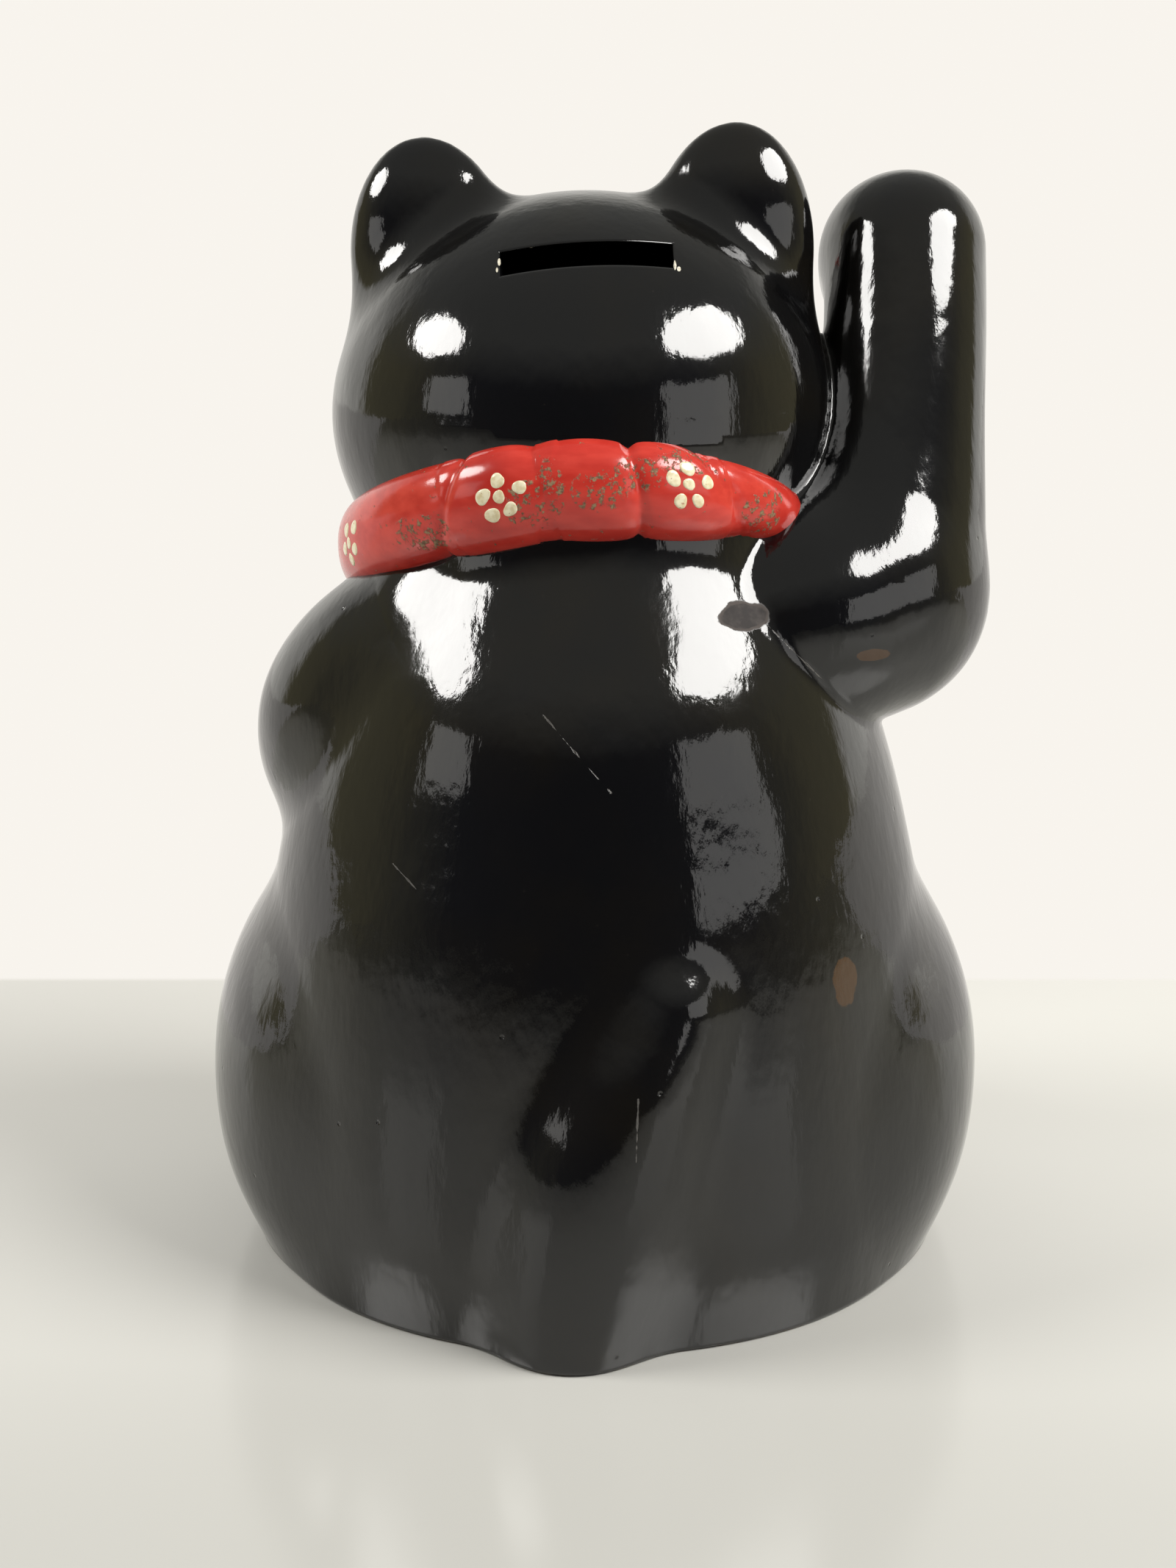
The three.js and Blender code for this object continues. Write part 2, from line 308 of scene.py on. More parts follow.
def surface_nets(values, low, step):
    """A quad mesh of the zero surface of a grid: one vertex in each cell that it crosses."""
    inside = values < 0
    n = np.array(values.shape) - 1
    offsets = [(i, j, k) for i in (0, 1) for j in (0, 1) for k in (0, 1)]
    total = np.zeros(n, np.uint8)
    for i, j, k in offsets:
        total += inside[i : i + n[0], j : j + n[1], k : k + n[2]]
    cells = np.argwhere((total > 0) & (total < 8))
    number = np.full(n, -1, np.int64)
    number[tuple(cells.T)] = np.arange(len(cells))
    summed = np.zeros((len(cells), 3))
    crossings = np.zeros(len(cells))
    for a in offsets:
        for axis in range(3):
            if a[axis]:
                continue
            b = tuple(1 if i == axis else a[i] for i in range(3))
            va = values[tuple((cells + a).T)]
            vb = values[tuple((cells + b).T)]
            crossed = (va < 0) != (vb < 0)
            t = np.where(crossed, va / np.where(crossed, va - vb, 1), 0)
            point = np.array(a, float) + t[:, None] * (np.array(b) - np.array(a))
            summed += point * crossed[:, None]
            crossings += crossed
    verts = (cells + summed / crossings[:, None]) * step + np.array(low)
    quads = []
    for axis in range(3):
        u, v = (axis + 1) % 3, (axis + 2) % 3
        first = [slice(None)] * 3
        second = [slice(None)] * 3
        first[axis], second[axis] = slice(0, -1), slice(1, None)
        a, b = inside[tuple(first)], inside[tuple(second)]
        for flipped in (False, True):
            edges = np.argwhere((a & ~b) if not flipped else (b & ~a))
            edges = edges[(edges[:, u] > 0) & (edges[:, v] > 0) & (edges[:, u] < n[u]) & (edges[:, v] < n[v])]
            ring = []
            for du, dv in ((1, 1), (0, 1), (0, 0), (1, 0)):
                cell = edges.copy()
                cell[:, u] -= du
                cell[:, v] -= dv
                ring.append(number[tuple(cell.T)])
            quad = np.stack(ring, 1)
            quads.append(quad[:, ::-1] if flipped else quad)
    return verts, np.vstack(quads)


def settle(field, verts, edges, rounds, share=0.5):
    """Evens out the mesh and lays every vertex on the zero surface again."""
    degree = np.bincount(edges.ravel(), minlength=len(verts))[:, None]
    for _ in range(rounds):
        middle = np.zeros_like(verts)
        for axis in range(3):
            middle[:, axis] += np.bincount(edges[:, 0], verts[edges[:, 1], axis], len(verts))
            middle[:, axis] += np.bincount(edges[:, 1], verts[edges[:, 0], axis], len(verts))
        verts = verts + share * (middle / np.maximum(degree, 1) - verts)
        verts = laid(field, verts)
    return verts


def laid(field, verts, rounds=2):
    """Points moved onto the zero surface."""
    for _ in range(rounds):
        value, slope = gradient(field, verts)
        move = value / np.maximum((slope**2).sum(1), 0.1)
        verts = verts - np.clip(move, -1.5, 1.5)[:, None] * slope
    return verts


def unit(v):
    return v / np.maximum(np.linalg.norm(v, axis=-1, keepdims=True), 1e-9)


def mesh_object(name, verts, faces, normals=None, material=None, smooth=True):
    """A mesh piece from millimetres, with its own normals where they are given."""
    mesh = bpy.data.meshes.new(name)
    mesh.from_pydata((np.asarray(verts) * MM).tolist(), [], faces)
    mesh.validate()
    mesh.polygons.foreach_set("use_smooth", [smooth] * len(mesh.polygons))
    if normals is not None:
        mesh.normals_split_custom_set_from_vertices(np.asarray(normals).tolist())
    mesh.update()
    piece = bpy.data.objects.new(name, mesh)
    bpy.context.scene.collection.objects.link(piece)
    if material:
        mesh.materials.append(material)
    return piece


def slot_frame(p):
    """Points measured from the middle of the slot, its arch taken out: across, outwards, up."""
    q = on_head(p) - np.array(SLOT_AT, float)
    q[:, 2] += SLOT_ARCH * ((q[:, 0] / SLOT_HALF_WIDTH) ** 2 - 0.5)
    return q


def slot_point(q):
    """The other way: from the slot's frame to that of the figure."""
    q = np.array(q, float)
    q[:, 2] -= SLOT_ARCH * ((q[:, 0] / SLOT_HALF_WIDTH) ** 2 - 0.5)
    return from_head(q + np.array(SLOT_AT, float))


def outer_surface():
    """Vertices and faces of the glazed surface, open at the foot and at the slot."""
    step = 1.8
    low, high = np.array([-112, -110, -10.0]), np.array([112, 112, 308.0])
    verts, quads = surface_nets(grid_values(figure, low, high, step), low, step)
    edges = np.unique(np.sort(np.vstack([quads[:, [i, (i + 1) % 4]] for i in range(4)]), axis=1), axis=0)
    verts = settle(figure, laid(figure, verts), edges, 4)

    bm = bmesh.new()
    handles = [bm.verts.new(v) for v in verts]
    for quad in quads.tolist():
        bm.faces.new([handles[i] for i in quad])
    bm.verts.index_update()

    m = masses(verts)
    ranked = np.sort(np.stack(list(m.values())), axis=0)
    crease = ranked[1] - ranked[0] < 4
    in_slot = slot_frame(verts)
    near_slot = (
        (np.abs(in_slot[:, 0]) < SLOT_HALF_WIDTH + 4)
        & (np.abs(in_slot[:, 2]) < 8)
        & (verts[:, 1] > 10)
    )
    fine = crease | near_slot
    bm.edges.ensure_lookup_table()
    chosen = [e for e in bm.edges if fine[e.verts[0].index] and fine[e.verts[1].index]]
    bmesh.ops.subdivide_edges(bm, edges=chosen, cuts=1, use_grid_fill=True)

    def arrays():
        bm.verts.index_update()
        points = np.array([v.co[:] for v in bm.verts])
        lines = np.array([(e.verts[0].index, e.verts[1].index) for e in bm.edges])
        return points, lines

    def put(points):
        for v, p in zip(bm.verts, points):
            v.co = p

    points, lines = arrays()
    put(settle(figure, laid(figure, points), lines, 2))

    # the foot is cut level, and the slot is cut through the back of the head
    everything = bm.verts[:] + bm.edges[:] + bm.faces[:]
    bmesh.ops.bisect_plane(
        bm, geom=everything, dist=1e-4, plane_co=(0, 0, FOOT_EDGE), plane_no=(0, 0, -1), clear_outer=True
    )
    points, lines = arrays()
    straight = slot_frame(points)
    put(straight)
    half = (SLOT_HALF_WIDTH + LIP, SLOT_HALF_HEIGHT + LIP)
    for axis, size in ((0, half[0]), (2, half[1])):
        for sign in (1, -1):
            faces = [
                f
                for f in bm.faces
                if all(abs(v.co.x) < half[0] + 6 and abs(v.co.z) < 9 and v.co.y > -25 for v in f.verts)
            ]
            region = set(faces) | {e for f in faces for e in f.edges} | {v for f in faces for v in f.verts}
            normal = Vector((0, 0, 0))
            normal[axis] = sign
            bmesh.ops.bisect_plane(bm, geom=list(region), dist=1e-4, plane_co=normal * size, plane_no=normal)
    gone = []
    for f in bm.faces:
        c = f.calc_center_median()
        if abs(c.x) < half[0] and abs(c.z) < half[1] and c.y > -25:
            gone.append(f)
    bmesh.ops.delete(bm, geom=gone, context="FACES")
    points, lines = arrays()
    put(slot_point(points))
    points, lines = arrays()
    faces = [[v.index for v in f.verts] for f in bm.faces]
    bm.free()
    return points, faces


def clothed(points, faces):
    """The glazed surface as a hollow wall, parted into a mesh for each CAD node."""
    names = list(masses(points[:1]))
    slope = gradient(figure, points)[1]
    normals = unit(slope)
    centres = np.array([points[f].mean(0) for f in faces])
    owner = np.argmin(np.stack(list(masses(centres).values())), axis=0)
    thick = np.where(np.isin(owner, [names.index("left_ear"), names.index("right_ear")]), 1.5, WALL)
    wall = np.full(len(points), WALL)
    for f, t in zip(faces, thick):
        wall[f] = np.minimum(wall[f], t)
    inner = points - normals * wall[:, None]
    inner[:, 2] = np.maximum(inner[:, 2], 0)

    sides = {}
    for i, f in enumerate(faces):
        for a, b in zip(f, f[1:] + f[:1]):
            sides.setdefault((min(a, b), max(a, b)), []).append((i, a, b))

    n = len(points)
    all_points = [points, inner]
    all_normals = [normals, -normals]
    pieces = {i: [] for i in range(len(names))}
    for i, f in enumerate(faces):
        pieces[owner[i]].append(f)
        pieces[owner[i]].append([v + n for v in reversed(f)])
    rim_edges = []
    for met in sides.values():
        if len(met) == 1:
            rim_edges.append(met[0])
        elif owner[met[0][0]] != owner[met[1][0]]:
            for i, a, b in met:
                pieces[owner[i]].append([b, a, a + n, b + n])

    # rounded edges: the foot's ring on the table, and the lip of the slot
    rim = sorted({v for _, a, b in rim_edges for v in (a, b)})
    place = {v: i for i, v in enumerate(rim)}
    p, nrm = points[rim], normals[rim]
    at_foot = p[:, 2] < 2 * FOOT_EDGE
    inward = -unit(nrm * np.array([1, 1, 0]))
    q = slot_frame(p)
    nearest = q.copy()
    nearest[:, 0] = np.clip(q[:, 0], -SLOT_HALF_WIDTH, SLOT_HALF_WIDTH)
    nearest[:, 2] = np.clip(q[:, 2], -SLOT_HALF_HEIGHT, SLOT_HALF_HEIGHT)
    away = q - nearest
    rings, ring_normals = [], []
    for angle in np.radians([30, 60, 90]):
        foot = p + inward * (FOOT_EDGE * (1 - math.cos(angle)))
        foot[:, 2] = FOOT_EDGE * (1 - math.sin(angle))
        foot_normal = -inward * math.cos(angle) - np.array([0, 0, 1]) * math.sin(angle)
        lip = nearest + away * (1 - math.sin(angle))
        lip[:, 1] -= LIP * (1 - math.cos(angle))
        lip_normal = nrm * math.cos(angle) + (from_head(-away) - np.array(HEAD_AT)) * math.sin(angle) / LIP
        rings.append(np.where(at_foot[:, None], foot, slot_point(lip)))
        ring_normals.append(unit(np.where(at_foot[:, None], foot_normal, lip_normal)))
    deep = nearest.copy()
    deep[:, 1] -= WALL + 1.5
    foot = p + inward * WALL
    foot[:, 2] = 0
    rings.append(np.where(at_foot[:, None], foot, slot_point(deep)))
    ring_normals.append(np.where(at_foot[:, None], np.array([0, 0, -1.0]), ring_normals[-1]))
    starts = []
    for ring, ring_normal in zip(rings, ring_normals):
        starts.append(sum(len(a) for a in all_points))
        all_points.append(ring)
        all_normals.append(ring_normal)
    for i, a, b in rim_edges:
        chain_a = [a] + [s + place[a] for s in starts] + [a + n]
        chain_b = [b] + [s + place[b] for s in starts] + [b + n]
        for k in range(len(chain_a) - 1):
            pieces[owner[i]].append([chain_b[k], chain_a[k], chain_a[k + 1], chain_b[k + 1]])

    everything = np.vstack(all_points)
    every_normal = np.vstack(all_normals)
    made = {}
    for index, name in enumerate(names):
        used = np.unique(np.concatenate([np.array(f) for f in pieces[index]]))
        renumber = {v: i for i, v in enumerate(used.tolist())}
        made[name] = (everything[used], [[renumber[v] for v in f] for f in pieces[index]], every_normal[used])
    return made


# ---------------------------------------------------------------- materials


class Paint:
    """A material, and short calls for the nodes that its detail is made of.

    Places in it are those of the figure.
    """

    def __init__(self, name):
        self.material = bpy.data.materials.new(name)
        self.material.use_nodes = True
        self.tree = self.material.node_tree
        self.shader = self.tree.nodes["Principled BSDF"]
        self.place = self.tree.nodes.new("ShaderNodeTexCoord").outputs["Object"]

    def feed(self, socket, value):
        if isinstance(value, bpy.types.NodeSocket):
            self.tree.links.new(value, socket)
        else:
            socket.default_value = value

    def set(self, **values):
        for key, value in values.items():
            self.feed(self.shader.inputs[key.replace("_", " ")], value)

    def math(self, operation, a, b=0.0):
        node = self.tree.nodes.new("ShaderNodeMath")
        node.operation = operation
        self.feed(node.inputs[0], a)
        self.feed(node.inputs[1], b)
        return node.outputs[0]

    def vector(self, operation, a, b=(0, 0, 0)):
        node = self.tree.nodes.new("ShaderNodeVectorMath")
        node.operation = operation
        self.feed(node.inputs[0], a)
        self.feed(node.inputs[1], b)
        return node

    def noise(self, size, detail=2.0, stretch=(1, 1, 1), roughness=0.5):
        """Noise from 0 to 1 whose lumps are about size millimetres across, times stretch."""
        scale = tuple(1 / (size * MM * s) for s in stretch)
        node = self.tree.nodes.new("ShaderNodeTexNoise")
        self.feed(node.inputs["Vector"], self.vector("MULTIPLY", self.place, scale).outputs[0])
        node.inputs["Scale"].default_value = 1
        node.inputs["Detail"].default_value = detail
        node.inputs["Roughness"].default_value = roughness
        return node.outputs[0]

    def dots(self, spacing):
        """Distance in millimetres to the nearest of points scattered about spacing millimetres apart."""
        node = self.tree.nodes.new("ShaderNodeTexVoronoi")
        self.feed(node.inputs["Vector"], self.place)
        node.inputs["Scale"].default_value = 1 / (spacing * MM)
        return self.math("MULTIPLY", node.outputs["Distance"], spacing)

    def step(self, value, low, high):
        """A smooth step: 0 at low, 1 at high, either way round."""
        node = self.tree.nodes.new("ShaderNodeMapRange")
        node.interpolation_type = "SMOOTHSTEP"
        flipped = low > high
        self.feed(node.inputs["Value"], value)
        node.inputs["From Min"].default_value = min(low, high)
        node.inputs["From Max"].default_value = max(low, high)
        node.inputs["To Min"].default_value = 1.0 if flipped else 0.0
        node.inputs["To Max"].default_value = 0.0 if flipped else 1.0
        return node.outputs[0]

    def mix(self, factor, a, b):
        """Colour a where factor is 0, colour b where it is 1."""
        node = self.tree.nodes.new("ShaderNodeMix")
        node.data_type = "RGBA"
        self.feed(node.inputs[0], factor)
        for socket, colour in ((node.inputs[6], a), (node.inputs[7], b)):
            self.feed(socket, colour if isinstance(colour, bpy.types.NodeSocket) else (*colour, 1))
        return node.outputs[2]

    def blend(self, factor, a, b):
        """Number a where factor is 0, number b where it is 1."""
        node = self.tree.nodes.new("ShaderNodeMix")
        self.feed(node.inputs[0], factor)
        self.feed(node.inputs[2], a)
        self.feed(node.inputs[3], b)
        return node.outputs[0]

    def spot(self, centre, radii, ragged=0.0, size=1.5):
        """1 inside an ellipsoid about a point of the figure, 0 outside it, with a ragged edge."""
        away = self.vector("SUBTRACT", self.place, tuple(c * MM for c in centre)).outputs[0]
        scaled = self.vector("MULTIPLY", away, tuple(1 / (r * MM) for r in radii)).outputs[0]
        reach = self.vector("LENGTH", scaled).outputs["Value"]
        if ragged:
            reach = self.math("ADD", reach, self.math("MULTIPLY", self.noise(size, 4), ragged))
        return self.step(reach, 1.06 + ragged / 2, 0.94 + ragged / 2)

    def scratch(self, start, end, width):
        """1 on a thin straight scratch seen from behind, 0 elsewhere."""
        level = (1, 0, 1)
        flat = self.vector("MULTIPLY", self.place, level).outputs[0]
        a, b = (Vector(p) * MM for p in (start, end))
        a.y = b.y = 0
        run = b - a
        from_a = self.vector("SUBTRACT", flat, a).outputs[0]
        along = self.vector("DOT_PRODUCT", from_a, run / run.length_squared).outputs["Value"]
        along = self.math("MINIMUM", self.math("MAXIMUM", along, 0.0), 1.0)
        node = self.vector("SCALE", run)
        self.feed(node.inputs["Scale"], along)
        gap = self.vector("SUBTRACT", from_a, node.outputs[0]).outputs[0]
        distance = self.vector("LENGTH", gap).outputs["Value"]
        wander = self.math("MULTIPLY", self.math("SUBTRACT", self.noise(2.5, 2), 0.5), 1.2 * MM)
        distance = self.math("ABSOLUTE", self.math("ADD", distance, wander))
        behind = self.step(self.coordinate("Y"), 0.0, 20 * MM)
        return self.math("MULTIPLY", self.step(distance, width * MM, width * 0.5 * MM), behind)

    def coordinate(self, axis):
        node = self.tree.nodes.new("ShaderNodeSeparateXYZ")
        self.feed(node.inputs[0], self.place)
        return node.outputs[axis]

    def either(self, *values):
        result = values[0]
        for value in values[1:]:
            result = self.math("MAXIMUM", result, value)
        return result

    def total(self, *pairs):
        """The sum of value times amount for each pair."""
        result = 0.0
        for value, amount in pairs:
            result = self.math("ADD", result, self.math("MULTIPLY", value, amount))
        return result

    def relief(self, height):
        """Bumps, from a height in millimetres."""
        node = self.tree.nodes.new("ShaderNodeBump")
        node.inputs["Distance"].default_value = MM
        self.feed(node.inputs["Height"], height)
        self.feed(self.shader.inputs["Normal"], node.outputs[0])


# Chips in the glaze round the slot: across and up from its middle, and how large.
CHIPS = [
    (13.2, 3.4, (2.3, 3, 0.95)),
    (-10.6, 3.3, (1.2, 2, 0.75)),
    (-16.2, 3.2, (3.2, 2, 0.32)),
    (-20.6, 2.9, (1.0, 2, 0.35)),
    (-21.9, -1.2, (0.35, 2, 1.6)),
    (-22.6, -2.6, (0.5, 2, 0.6)),
    (21.8, 1.6, (0.4, 2, 1.0)),
    (21.7, -2.2, (0.3, 2, 0.6)),
    (0.5, -3.4, (1.0, 2, 0.22)),
    (-2.6, -3.4, (0.4, 2, 0.2)),
    (5.2, 3.5, (0.5, 2, 0.25)),
]


def on_rim(x, z):
    """The place on the glaze at x across and z up from the middle of the slot."""
    return tuple(float(v) for v in laid(figure, slot_point([[x, 2, z]]), 6)[0])


def black_glaze():
    """Glossy black glaze with brush marks, pinholes, scratches, brown marks, a worn patch and chips."""
    p = Paint("black_glaze")
    brushed = p.noise(1.5, 3, (1, 1, 3))
    rippled = p.noise(9, 2, (1, 1, 1.6))
    pinhole = p.step(p.dots(17), 0.75, 0.2)
    speck = p.step(p.dots(7), 0.3, 0.1)
    scratches = p.either(
        p.scratch((-10, 95, 71), (-9.5, 97, 56), 0.2),
        p.scratch((13, 68, 160), (-3.5, 75, 142), 0.12),
        p.scratch((-42, 48, 178), (-57, 40, 163), 0.14),
        p.scratch((50, 60, 121), (44, 66, 116), 0.12),
    )
    patch = p.spot((-36, 49, 180), (7.4, 9, 3.6), 0.55, 5)
    patch_core = p.spot((-36, 49, 180), (6.6, 8, 2.9), 0.55, 5)
    chips = p.either(*(p.spot(on_rim(x, z), size, 0.4, 1.0) for x, z, size in CHIPS))
    brown_marks = p.either(
        p.spot((-62.3, 61.7, 90.1), (4.2, 4.5, 6.4), 0.9, 5),
        p.spot((-69.9, 41.8, 169.1), (4.8, 4, 1.5), 0.7, 4),
    )
    worn_foot = p.math("ADD", p.coordinate("Z"), p.math("MULTIPLY", p.noise(9, 4), 3.2 * MM))
    bare = p.step(worn_foot, 2.0 * MM, 1.6 * MM)
    dusty = p.step(p.noise(26, 4), 0.55, 0.75)
    thin = p.step(p.noise(40, 3), 0.4, 0.75)
    colour = p.mix(thin, (0.0028, 0.0028, 0.0032), (0.0055, 0.0045, 0.003))
    colour = p.mix(p.math("MULTIPLY", speck, 0.4), colour, (0.03, 0.026, 0.022))
    colour = p.mix(p.math("MULTIPLY", brown_marks, 0.85), colour, (0.055, 0.024, 0.006))
    colour = p.mix(p.math("MULTIPLY", scratches, 0.6), colour, (0.16, 0.15, 0.14))
    colour = p.mix(patch, colour, (0.062, 0.050, 0.044))
    colour = p.mix(
        patch_core,
        colour,
        p.mix(p.step(p.noise(3, 4), 0.4, 0.7), (0.020, 0.016, 0.015), (0.048, 0.039, 0.036)),
    )
    colour = p.mix(
        chips,
        colour,
        p.mix(p.step(p.noise(1.2, 3), 0.35, 0.65), (0.55, 0.50, 0.38), (0.80, 0.76, 0.64)),
    )
    colour = p.mix(bare, colour, (0.10, 0.085, 0.07))
    rough = p.total(
        (p.noise(14, 4), 0.06), (dusty, 0.06), (scratches, 0.2), (patch, 0.75), (chips, 0.5), (bare, 0.5)
    )
    height = p.total(
        (rippled, 0.22),
        (brushed, 0.05),
        (p.noise(0.5, 2), 0.004),
        (pinhole, -0.16),
        (scratches, -0.03),
        (patch_core, -0.06),
        (chips, -0.25),
    )
    p.set(Base_Color=colour, Roughness=p.math("ADD", rough, 0.035), IOR=1.6)
    p.relief(height)
    return p.material


def red_enamel():
    """Red enamel laid on with a brush, with brown crust showing through where it is worn."""
    p = Paint("red_enamel")
    strokes = p.noise(3.5, 4, (2.5, 1, 0.8))
    worn_places = p.either(
        p.spot((-0.6, 60.8, 212), (7, 6, 5), 1.0, 4),
        p.spot((11.2, 60.6, 211.5), (3.5, 6, 8), 1.0, 4),
        p.spot((-9.8, 59, 216), (6, 6, 4.5), 1.0, 4),
        p.spot((-41.7, 42, 205), (6, 9, 6), 1.0, 4),
        p.spot((-20.6, 53.6, 218), (8, 6, 3), 1.0, 4),
        p.spot((42.3, 47, 200), (8, 9, 5), 1.0, 4),
        p.spot((17, 60, 209), (5, 6, 6), 1.0, 4),
    )
    fine = p.step(p.noise(1.6, 6, roughness=0.7), 0.53, 0.57)
    sparse = p.step(p.noise(2.2, 6, roughness=0.7), 0.64, 0.67)
    crust = p.either(p.math("MULTIPLY", fine, worn_places), sparse)
    colour = p.mix(p.step(strokes, 0.3, 0.7), (0.50, 0.030, 0.020), (0.60, 0.048, 0.032))
    colour = p.mix(p.step(p.noise(18, 3), 0.45, 0.8), colour, (0.41, 0.020, 0.014))
    brown = p.mix(p.step(p.noise(0.7, 3), 0.35, 0.65), (0.11, 0.065, 0.030), (0.30, 0.20, 0.105))
    colour = p.mix(crust, colour, brown)
    rough = p.total((p.noise(6, 3), 0.12), (crust, 0.6))
    p.set(Base_Color=colour, Roughness=p.math("ADD", rough, 0.09), IOR=1.52)
    p.relief(p.total((p.noise(7, 2), 0.10), (strokes, 0.03), (p.noise(0.8, 2), 0.005), (crust, 0.09)))
    return p.material


def cream_enamel():
    """Cream enamel in thick drops, yellowed a little in places."""
    p = Paint("cream_enamel")
    colour = p.mix(p.step(p.noise(1.3, 3), 0.35, 0.7), (0.86, 0.80, 0.58), (0.70, 0.60, 0.36))
    worn = p.step(p.noise(1.0, 5), 0.66, 0.7)
    colour = p.mix(worn, colour, (0.42, 0.20, 0.12))
    p.set(Base_Color=colour, Roughness=p.total((p.noise(2, 2), 0.25), (worn, 0.3)), IOR=1.5)
    p.relief(p.total((p.noise(1.6, 2), 0.05), (p.noise(0.5, 2), 0.006)))
    return p.material


def gold_enamel():
    """Brushed-on gilt, rubbed thin over its red ground in places."""
    p = Paint("gold_enamel")
    rubbed = p.step(p.noise(3.2, 6, roughness=0.65), 0.60, 0.66)
    brushed = p.noise(1.1, 3, (3, 1, 0.7))
    gilt = p.mix(p.step(brushed, 0.3, 0.7), (0.72, 0.46, 0.14), (0.86, 0.60, 0.24))
    p.set(
        Base_Color=p.mix(rubbed, gilt, (0.22, 0.07, 0.03)),
        Metallic=p.blend(rubbed, 0.85, 0.0),
        Roughness=p.total((p.noise(4, 3), 0.25), (rubbed, 0.3), (brushed, 0.15)),
    )
    p.relief(p.total((brushed, 0.02), (p.noise(5, 2), 0.08), (rubbed, -0.03)))
    return p.material


def bare_clay():
    """Unglazed buff clay: fine grain, dark specks, scraped marks."""
    p = Paint("bare_clay")
    colour = p.mix(p.noise(9, 4), (0.50, 0.39, 0.26), (0.66, 0.55, 0.40))
    colour = p.mix(p.step(p.dots(2.6), 0.35, 0.2), colour, (0.16, 0.11, 0.07))
    colour = p.mix(p.step(p.noise(22, 3), 0.5, 0.8), colour, (0.42, 0.36, 0.29))
    p.set(Base_Color=colour, Roughness=p.total((p.noise(1, 3), 0.15), (1.0, 0.78)), IOR=1.45)
    p.relief(
        p.total(
            (p.noise(0.7, 4), 0.07), (p.noise(3, 3, (4, 1, 1)), 0.12), (p.step(p.dots(3.5), 0.5, 0.1), -0.12)
        )
    )
    return p.material


def black_rubber():
    """Moulded rubber, dull, with a dusty bloom and a fine mould grain."""
    p = Paint("black_rubber")
    bloom = p.step(p.noise(12, 5), 0.42, 0.75)
    colour = p.mix(bloom, (0.022, 0.021, 0.020), (0.065, 0.060, 0.055))
    p.set(Base_Color=colour, Roughness=p.total((bloom, 0.18), (p.noise(1, 2), 0.1), (1.0, 0.5)), IOR=1.5)
    p.relief(p.total((p.noise(0.5, 3), 0.03), (p.noise(6, 2), 0.1)))
    return p.material


glaze = black_glaze()
red = red_enamel()
cream = cream_enamel()
gold = gold_enamel()
clay = bare_clay()
rubber = black_rubber()


def keep(piece, body="figure", node=None):
    """Puts a piece under the body that it moves with, and hides the CAD node that it stands in for."""
    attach(piece, body)
    if node:
        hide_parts(node)
    return piece


# ---------------------------------------------------------------- the castings


def castings():
    for name, (verts, faces, normals) in clothed(*outer_surface()).items():
        piece = mesh_object(name + "_look", verts, faces, normals, glaze)
        keep(piece, node=name)


# ---------------------------------------------------------------- pieces made of rings and rows


def grid_faces(rows, columns, start=0, wrap=True):
    """Quads between rows of points; wrap joins the last column to the first."""
    faces = []
    for r in range(rows - 1):
        for c in range(columns if wrap else columns - 1):
            d = (c + 1) % columns
            corners = (r * columns + c, r * columns + d, (r + 1) * columns + d, (r + 1) * columns + c)
            faces.append([start + i for i in corners])
    return faces


def welded(piece, distance=0.002):
    """Joins the points that meet, and turns all faces outwards."""
    bm = bmesh.new()
    bm.from_mesh(piece.data)
    bmesh.ops.remove_doubles(bm, verts=bm.verts, dist=distance * MM)
    bmesh.ops.recalc_face_normals(bm, faces=bm.faces)
    bm.to_mesh(piece.data)
    bm.free()
    piece.data.polygons.foreach_set("use_smooth", [True] * len(piece.data.polygons))
    return piece


def lathe(name, profile, material, around=128):
    """A turned piece about the Z axis, from a closed or axis-to-axis profile of (radius, height)."""
    angles = np.linspace(0, 2 * np.pi, around, endpoint=False)
    profile = np.array(profile, float)
    verts = [(r * math.cos(a), r * math.sin(a), z) for r, z in profile for a in angles]
    return welded(mesh_object(name, verts, grid_faces(len(profile), around), material=material))


def rounded(profile, radii, steps=5):
    """A profile with each corner rounded to its own radius."""
    result = []
    count = len(profile)
    for i, (point, radius) in enumerate(zip(profile, radii)):
        here = Vector(point)
        if radius == 0 or i in (0, count - 1):
            result.append(tuple(here))
            continue
        back = (Vector(profile[i - 1]) - here).normalized()
        on = (Vector(profile[i + 1]) - here).normalized()
        start, end = here + back * radius, here + on * radius
        for k in range(steps + 1):
            t = k / steps
            result.append(tuple(start * (1 - t) ** 2 + here * 2 * t * (1 - t) + end * t**2))
    return result


# Each gather of the collar: its angle in degrees, depth, width in degrees, slant in degrees, how far the
# gather fades out below, and how full the puff after it is.
GATHERS = [
    (59, 0.05, 1.2, 3, 0.0, 1.03),
    (83, 0.09, 3.2, -3, 0.8, 1.02),
    (103.5, 0.12, 1.3, -1, 0.0, 1.03),
    (126, 0.10, 2.4, -7, 0.1, 0.97),
    (158, 0.22, 5.0, 0, 0.0, 0.92),
    (181, 0.16, 2.5, 2, 0.0, 1.0),
    (206, 0.17, 2.4, -3, 0.1, 1.04),
    (231, 0.15, 2.2, 3, 0.2, 1.05),
    (256, 0.17, 2.4, 0, 0.0, 1.06),
    (281, 0.16, 2.2, -2, 0.1, 1.05),
    (306, 0.17, 2.4, 3, 0.0, 1.04),
    (331, 0.15, 2.5, -3, 0.3, 0.98),
]


